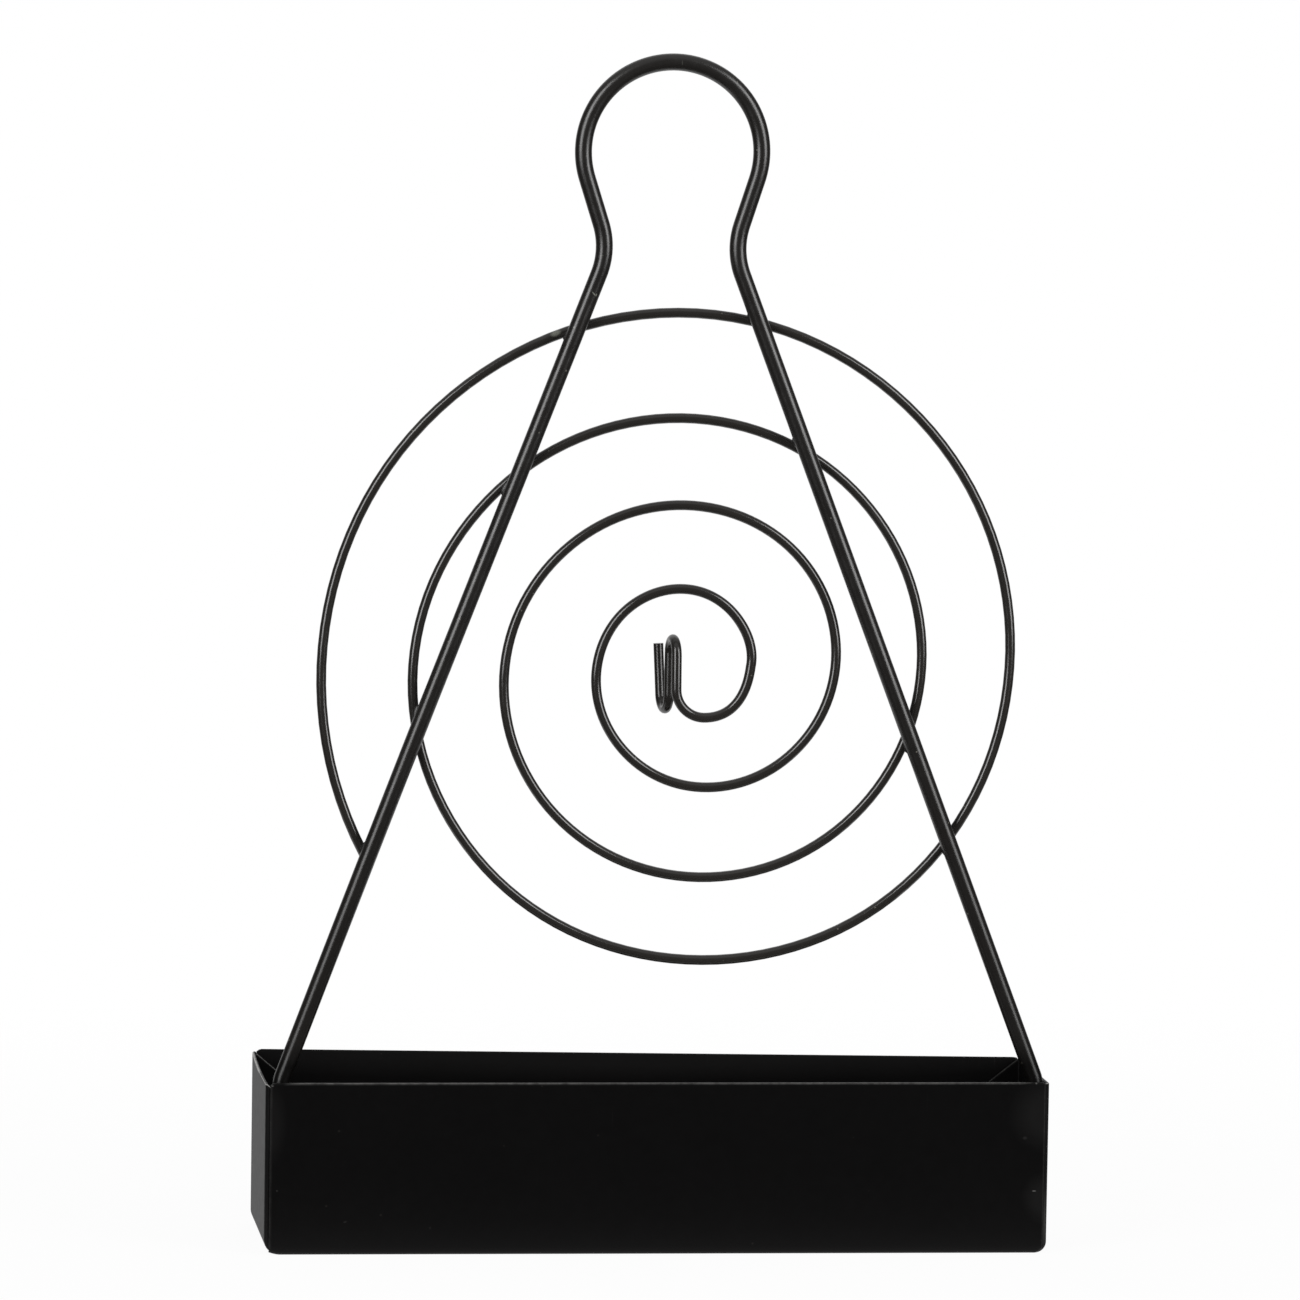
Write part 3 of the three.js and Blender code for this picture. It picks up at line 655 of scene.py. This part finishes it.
def clipPoints(w):
    # three upright runs, each behind the one before; the line starts at the last one's cut end
    depth = (w["clipSlot"] + w["diameter"]) / 2
    (topStep, lowStep), (middleLean, lastLean) = w["clipSteps"], w["clipLeans"]
    top = clipBend((w["clipX"], wireY, spiralZ + w["clipTop"] - depth), 1, topStep, w)
    middle = top[-1]
    bottomZ = spiralZ - w["clipBottom"] + depth
    bottom = clipBend((middle.x - middleLean, middle.y, bottomZ), -1, lowStep, w)
    last = bottom[-1]
    cut = Vector((last.x - lastLean, last.y, spiralZ + w["clipEnd"]))
    justInside = cut + (last - cut).normalized() * w["endRound"]
    # the lead turns from the first run's foot, then rises in one curve to the spiral's start
    bendZ = spiralZ - w["leadDrop"] + w["leadBend"]
    bend = [Vector((x, wireY, z)) for x, z in arcPoints(w["clipX"] + w["leadBend"], bendZ, w["leadBend"],
                                                        math.pi, 1.5 * math.pi, w["leadBendStep"])]
    (sx, sz), (nx, nz) = spiralPoint(w, 0.0), spiralPoint(w, w["leadAhead"])
    start, lowest = Vector((sx, wireY, sz)), bend[-1]
    ahead = (Vector((nx, wireY, nz)) - start).normalized()
    first = Vector((lowest.x + (start.x - lowest.x) * w["leadFullness"], wireY, lowest.z))
    second = start - ahead * (start.z - lowest.z) * w["leadFullness"]
    lead = []
    for i in range(1, w["leadSteps"]):
        f = i / w["leadSteps"]
        lead.append(lowest * (1 - f) ** 3 + first * 3 * f * (1 - f) ** 2 + second * 3 * f ** 2 * (1 - f)
                    + start * f ** 3)
    # the clip leans back from the foot of its first run
    for point in [cut, justInside] + bottom + top:
        point.y += w["clipTilt"] * (point.z - bend[0].z)
    return [cut, justInside] + bottom[::-1] + top[::-1] + bend + lead


def findCrossings(w):
    # where the spiral passes behind the rod, seen straight from the front
    found = []
    count = int(w["turns"] * w["stationsPerTurn"])
    places = [i / w["stationsPerTurn"] for i in range(count + 1)]
    line = [spiralPoint(w, t) for t in places]
    for k in range(count):
        (ax, az), (bx, bz) = line[k], line[k + 1]
        for (cx, cz), (dx, dz) in zip(rodPoints, rodPoints[1:]):
            turn = (bx - ax) * (dz - cz) - (bz - az) * (dx - cx)
            if abs(turn) < 1e-15:
                continue  # side by side, they never cross
            s = ((cx - ax) * (dz - cz) - (cz - az) * (dx - cx)) / turn
            u = ((cx - ax) * (bz - az) - (cz - az) * (bx - ax)) / turn
            if 0 <= s < 1 and 0 <= u < 1:
                found.append({
                    "turns": places[k] + s / w["stationsPerTurn"],
                    "x": ax + (bx - ax) * s, "z": az + (bz - az) * s,
                    "wireAngle": math.atan2(bz - az, bx - ax), "rodAngle": math.atan2(dz - cz, dx - cx)})
    last = max(i for i, c in enumerate(found) if c["x"] < 0)
    return found[:last + 1]


crossings = findCrossings(spiralWire)


def spiralMesh(w):
    # the clip's points stand where they are, the spiral's carry their turns and their stray
    clip = clipPoints(w)
    endTurns = crossings[-1]["turns"]
    radius = w["startRadius"] + w["pitch"] * endTurns
    endTurns += w["tail"] / (2 * math.pi * radius)
    count = int(endTurns * w["stationsPerTurn"])
    places = [i / w["stationsPerTurn"] for i in range(count + 1)]
    places += [endTurns - w["endRound"] / (2 * math.pi * radius), endTurns]
    points = clip + [Vector((0, wireY, 0))] * len(places)
    unmoved = [0.0] * len(clip)
    return pointMesh("spiralLine", points, chain(0, len(points)), {
        "onSpiral": unmoved + [1.0] * len(places), "turnsOut": unmoved + places,
        "stray": unmoved + [strayAt(w, t) for t in places]})


def windSpiral(tree, given):
    # radius = start + pitch x (turns + stray); the wire goes once round for each turn
    turns = namedValue(tree, "turnsOut")
    grown = calc(tree, "MULTIPLY", calc(tree, "ADD", turns, namedValue(tree, "stray")), given["Pitch"])
    radius = calc(tree, "ADD", grown, given["Start Radius"])
    angle = calc(tree, "MULTIPLY", turns, 2 * math.pi)
    x = calc(tree, "MULTIPLY_ADD", calc(tree, "COSINE", angle), radius, given["Centre X"])
    z = calc(tree, "MULTIPLY_ADD", calc(tree, "SINE", angle), radius, given["Centre Z"])
    where = addNode(tree, "ShaderNodeCombineXYZ", {"X": x, "Y": given["Centre Y"], "Z": z}).outputs[0]
    onSpiral = namedValue(tree, "onSpiral")
    wound = addNode(tree, "GeometryNodeSetPosition", {
        "Geometry": given["Geometry"], "Selection": onSpiral, "Position": where}).outputs[0]
    path = addNode(tree, "GeometryNodeMeshToCurve", {"Mesh": wound}).outputs[0]
    return sweepAlong(tree, given, path)


wire = growPiece("spiralWire", spiralMesh(spiralWire), "spiralGrowth", {
    **sweepValues(spiralWire), "Start Radius": spiralWire["startRadius"], "Pitch": spiralWire["pitch"],
    "Centre X": spiralWire["centreX"], "Centre Y": wireY, "Centre Z": spiralZ}, windSpiral, wirePaint)
finishPiece(wire, "wire_paint", "spiral_wire")


# welds where the wire crosses the rod

crossWelds = {
    "web": 0.00035, "waist": 0.0013, "halfDepth": 0.0010, "pinch": 9.0, "lumpHeight": 0.00012,
    "lumpScale": 900.0, "seed": 4.0, "segments": 48, "rings": 20,
}


def crossWeldPoints(c):
    points, bisectors, reaches = [], [], []
    for crossing in crossings:
        between = (crossing["wireAngle"] - crossing["rodAngle"]) % math.pi
        if between > math.pi / 2:
            between -= math.pi
        sharp = abs(between)
        corner = math.sqrt(rodRadius ** 2 + wireRadius ** 2 + 2 * rodRadius * wireRadius * math.cos(sharp))
        points.append((crossing["x"], rodY + rodRadius + spiralWire["weldRoom"] / 2, crossing["z"]))
        bisectors.append(crossing["rodAngle"] + between / 2)
        reaches.append(corner / math.sin(sharp) + c["web"])
    return pointMesh("crossWeldPoints", points, [], {"bisector": bisectors, "reach": reaches})


def shapeWebs(tree, given):
    ball = addNode(tree, "GeometryNodeMeshUVSphere", {
        "Segments": given["Segments"], "Rings": given["Rings"], "Radius": 1.0}).outputs[0]
    place = addNode(tree, "GeometryNodeInputPosition").outputs[0]
    unit = storeValue(tree, ball, "unitPlace", place)
    centred = storeValue(tree, given["Geometry"], "weldCentre", place)
    copies = addNode(tree, "GeometryNodeInstanceOnPoints", {"Points": centred, "Instance": unit}).outputs[0]
    real = addNode(tree, "GeometryNodeRealizeInstances", {"Geometry": copies}).outputs[0]
    # the ball is drawn out along the sharp corners between the two wires, and pinched across them
    ux, uy, uz = splitVector(tree, namedValue(tree, "unitPlace", "FLOAT_VECTOR"))
    squares = calc(tree, "ADD", calc(tree, "MULTIPLY", ux, ux), calc(tree, "MULTIPLY", uy, uy))
    flat = calc(tree, "SQRT", squares)
    angle = calc(tree, "ARCTAN2", uy, ux)
    fromBisector = calc(tree, "SUBTRACT", angle, namedValue(tree, "bisector"))
    toward = calc(tree, "ABSOLUTE", calc(tree, "COSINE", fromBisector))
    star = calc(tree, "POWER", toward, given["Pinch"])
    spare = calc(tree, "SUBTRACT", namedValue(tree, "reach"), given["Waist"])
    outward = calc(tree, "MULTIPLY", calc(tree, "MULTIPLY_ADD", star, spare, given["Waist"]), flat)
    offset = addNode(tree, "ShaderNodeCombineXYZ", {
        "X": calc(tree, "MULTIPLY", outward, calc(tree, "COSINE", angle)),
        "Y": calc(tree, "MULTIPLY", calc(tree, "MULTIPLY", uz, given["Half Depth"]), -1.0),
        "Z": calc(tree, "MULTIPLY", outward, calc(tree, "SINE", angle))}).outputs[0]
    moved = addVectors(tree, namedValue(tree, "weldCentre", "FLOAT_VECTOR"), offset)
    shaped = addNode(tree, "GeometryNodeSetPosition", {"Geometry": real, "Position": moved}).outputs[0]
    # small lumps
    noise = addNode(tree, "ShaderNodeTexNoise", {"Scale": given["Lump Scale"], "W": given["Seed"]},
                    noise_dimensions="4D").outputs["Fac"]
    lump = calc(tree, "MULTIPLY", calc(tree, "SUBTRACT", noise, 0.5), given["Lump Height"])
    push = scaleVector(tree, addNode(tree, "GeometryNodeInputNormal").outputs[0], lump)
    return addNode(tree, "GeometryNodeSetPosition", {"Geometry": shaped, "Offset": push}).outputs[0]


webs = growPiece("crossWelds", crossWeldPoints(crossWelds), "weldWebs", {
    "Waist": crossWelds["waist"], "Half Depth": crossWelds["halfDepth"], "Pinch": crossWelds["pinch"],
    "Lump Height": crossWelds["lumpHeight"], "Lump Scale": crossWelds["lumpScale"],
    "Seed": crossWelds["seed"], "Segments": crossWelds["segments"], "Rings": crossWelds["rings"]},
    shapeWebs, weldPaint)
finishPiece(webs, "weld_paint", *["cross_weld_" + str(i + 1) for i in range(len(crossings))])


# welds that hold the feet to the tray's tabs

footWelds = {
    "length": 0.018, "radius": 0.00125, "topDrop": 0.0075, "ripple": 0.0011, "rippleDepth": 0.07,
    "stations": 120, "sides": 20, "inset": 0.0002,
    "endPower": 8.0, "endSpare": 0.002,  # how blunt the rounded ends are, and what stays open at the tip
}


def footWeldLines(f):
    points, edges = [], []
    top = trayBlank["height"] - f["topDrop"]
    for x in (rodRadius - footX, footX - rodRadius):
        edges += chain(len(points), f["stations"] + 1)
        points += [(x, -tabInnerY + f["inset"], top - f["length"] * (1 - i / f["stations"]))
                   for i in range(f["stations"] + 1)]
    return pointMesh("footWeldLines", points, edges, {})


def rippleBead(tree, given):
    path = addNode(tree, "GeometryNodeMeshToCurve", {"Mesh": given["Geometry"]}).outputs[0]
    along = addNode(tree, "GeometryNodeSplineParameter").outputs
    phase = calc(tree, "FRACT", calc(tree, "DIVIDE", along["Length"], given["Ripple Length"]))
    scale = calc(tree, "SUBTRACT", 1.0, calc(tree, "MULTIPLY", phase, given["Ripple Depth"]))
    # the bead starts and stops in a rounded end
    middle = calc(tree, "SUBTRACT", calc(tree, "MULTIPLY", along["Factor"], 2.0), 1.0)
    blunt = calc(tree, "POWER", calc(tree, "ABSOLUTE", middle), footWelds["endPower"])
    ends = calc(tree, "SQRT", calc(tree, "SUBTRACT", 1.0 + footWelds["endSpare"], blunt))
    radius = calc(tree, "MULTIPLY", scale, ends)
    sized = addNode(tree, "GeometryNodeSetCurveRadius", {"Curve": path, "Radius": radius}).outputs[0]
    ring = addNode(tree, "GeometryNodeCurvePrimitiveCircle", {
        "Resolution": given["Sides"], "Radius": given["Bead Radius"]}).outputs[0]
    return addNode(tree, "GeometryNodeCurveToMesh", {
        "Curve": sized, "Profile Curve": ring, "Fill Caps": True}).outputs[0]


beads = growPiece("footWelds", footWeldLines(footWelds), "weldRipples", {
    "Bead Radius": footWelds["radius"], "Ripple Length": footWelds["ripple"],
    "Ripple Depth": footWelds["rippleDepth"], "Sides": footWelds["sides"]}, rippleBead, weldPaint)
finishPiece(beads, "weld_paint", "foot_weld_left", "foot_weld_right")


# floor, lamps and background

studio = {
    "floorLeft": -0.75, "floorRight": 0.75, "floorFront": -0.16, "floorBack": 1.2,
    "floorColor": (0.94, 0.94, 0.94), "floorFade": 0.95, "grainScale": 900.0, "grainTone": 1.01,
    # where the paper fades out, to the sides, at the back, at the front, and at the front in a mirrored view
    "paperSides": (0.16, 0.34), "paperBack": (0.12, 0.40), "paperFront": (-0.15, -0.10),
    "mirroredFront": (-0.050, -0.034),
    # the room, by the direction that a ray leaves in
    "worldLight": 0.45, "backdropGlow": 0.80, "overheadGlow": 0.38, "roomGlow": 0.02, "asideGlow": 0.1,
    "backdropY": (0.25, 0.65), "asideX": (0.35, 0.80), "overheadZ": (0.45, 0.95),
    # each lamp's angle round the object, from straight in front
    "lamps": {"leftLamp": -45.0, "rightLamp": 49.5},
    "lampDistance": 1.5, "lampWidth": 0.70, "lampHeight": 1.38, "lampCentreZ": 0.73, "lampRadiance": 4.5,
}


def seenRays(tree):
    rays = addNode(tree, "ShaderNodeLightPath").outputs
    seen = calc(tree, "MAXIMUM", rays["Is Camera Ray"], rays["Is Glossy Ray"])
    return calc(tree, "MAXIMUM", seen, rays["Is Transmission Ray"]), rays["Is Glossy Ray"]


def makeFloorPaper(s):
    # matt white paper that fades to the white background, and keeps the object's soft shadow
    material, tree = newMaterial("floorPaper")
    place = addNode(tree, "ShaderNodeTexCoord").outputs["Object"]
    grain = noiseAt(tree, place, s["grainScale"])
    grainColor = (*[value * s["grainTone"] for value in s["floorColor"]], 1.0)
    paper = addNode(tree, "ShaderNodeBsdfDiffuse", {
        "Color": mix(tree, grain, (*s["floorColor"], 1.0), grainColor)}).outputs[0]
    seen, glossy = seenRays(tree)
    glow = ramp(tree, glossy, 0.0, 1.0, 1.0, s["backdropGlow"])
    white = addNode(tree, "ShaderNodeEmission", {"Color": (1.0, 1.0, 1.0, 1.0), "Strength": glow}).outputs[0]
    lift = calc(tree, "MULTIPLY", seen, s["floorFade"])
    lit = addNode(tree, "ShaderNodeMixShader", {0: lift, 1: paper, 2: white}).outputs[0]
    # clear towards its edges
    x, y, _ = splitVector(tree, place)
    nearX = ramp(tree, calc(tree, "ABSOLUTE", x), *s["paperSides"], 1.0, 0.0)
    nearBack = ramp(tree, y, *s["paperBack"], 1.0, 0.0)
    # for a mirrored view it ends close in front of the tray, so that its face mirrors the dim room
    nearFront, mirroredFront = ramp(tree, y, *s["paperFront"]), ramp(tree, y, *s["mirroredFront"])
    front = mix(tree, glossy, nearFront, mirroredFront, "FLOAT")
    kept = calc(tree, "MULTIPLY", calc(tree, "MULTIPLY", nearX, nearBack), front)
    clear = addNode(tree, "ShaderNodeBsdfTransparent").outputs[0]
    faded = addNode(tree, "ShaderNodeMixShader", {0: kept, 1: clear, 2: lit}).outputs[0]
    addNode(tree, "ShaderNodeOutputMaterial", {"Surface": faded})
    return material


def makeFloor(s):
    mesh = bpy.data.meshes.new("floor")
    left, right, front, back = s["floorLeft"], s["floorRight"], s["floorFront"], s["floorBack"]
    corners = [(left, front, 0), (right, front, 0), (right, back, 0), (left, back, 0)]
    mesh.from_pydata(corners, [], [(0, 1, 2, 3)])
    mesh.materials.append(makeFloorPaper(s))
    floor = placeObject("floor", mesh)


def makeLamp(name, s, angle):
    lamp = bpy.data.lights.new(name, "AREA")
    lamp.shape, lamp.size, lamp.size_y = "RECTANGLE", s["lampWidth"], s["lampHeight"]
    lamp.energy = s["lampRadiance"] * math.pi * s["lampWidth"] * s["lampHeight"]
    holder = placeObject(name, lamp)
    turn = math.radians(angle)
    spot = Vector((math.sin(turn), -math.cos(turn), 0)) * s["lampDistance"]
    holder.location = (spot.x, spot.y, s["lampCentreZ"])
    holder.rotation_mode = "QUATERNION"
    toObject = Vector((0, 0, s["lampCentreZ"])) - Vector(holder.location)
    holder.rotation_quaternion = toObject.to_track_quat("-Z", "Y")
    holder.visible_camera = False


def makeWorld(s):
    # a white backdrop behind the object and a dim room in front of it
    world = bpy.data.worlds.new("paleRoom")
    world.use_nodes = True
    bpy.context.scene.world = world
    tree = world.node_tree
    tree.nodes.clear()
    x, y, z = splitVector(tree, addNode(tree, "ShaderNodeTexCoord").outputs["Generated"])
    behind = ramp(tree, y, *s["backdropY"], s["roomGlow"], s["backdropGlow"])
    middle = ramp(tree, calc(tree, "ABSOLUTE", x), *s["asideX"], 1.0, s["asideGlow"])
    above = ramp(tree, z, *s["overheadZ"], 0.0, s["overheadGlow"])
    mirrored = calc(tree, "MAXIMUM", calc(tree, "MULTIPLY", behind, middle), above)
    seen, glossy = seenRays(tree)
    strength = mix(tree, glossy, ramp(tree, seen, 0.0, 1.0, s["worldLight"], 1.0), mirrored, "FLOAT")
    glow = addNode(tree, "ShaderNodeBackground", {"Color": (1.0, 1.0, 1.0, 1.0), "Strength": strength})
    addNode(tree, "ShaderNodeOutputWorld", {"Surface": glow.outputs[0]})


makeFloor(studio)
for lampName, lampAngle in studio["lamps"].items():
    makeLamp(lampName, studio, lampAngle)
makeWorld(studio)
print("studio set up")


# camera

cameraView = {
    "yaw": 6.289, "pitch": 6.308, "roll": 0.902, "lens": 289.87, "target": (-0.001381, 0.0, 0.147868),
    "distance": 2.6, "sensor": 36.0, "nearest": 0.1, "farthest": 50.0,
}


def makeCamera(c):
    yaw, pitch, roll = (math.radians(c[key]) for key in ("yaw", "pitch", "roll"))
    ahead = Vector((math.sin(yaw) * math.cos(pitch), math.cos(yaw) * math.cos(pitch), -math.sin(pitch)))
    right = Vector((math.cos(yaw), -math.sin(yaw), 0))
    up = right.cross(ahead)
    rolledRight = right * math.cos(roll) + up * math.sin(roll)
    rolledUp = up * math.cos(roll) - right * math.sin(roll)
    camera = bpy.data.cameras.new("camera")
    camera.lens, camera.sensor_width = c["lens"], c["sensor"]
    camera.clip_start, camera.clip_end = c["nearest"], c["farthest"]
    holder = placeObject("camera", camera)
    turn = Matrix((rolledRight, rolledUp, -ahead)).transposed()
    place = Vector(c["target"]) - ahead * c["distance"]
    holder.matrix_world = Matrix.Translation(place) @ turn.to_4x4()
    bpy.context.scene.camera = holder


makeCamera(cameraView)
bpy.context.scene.view_settings.view_transform = "Standard"
print("camera set")
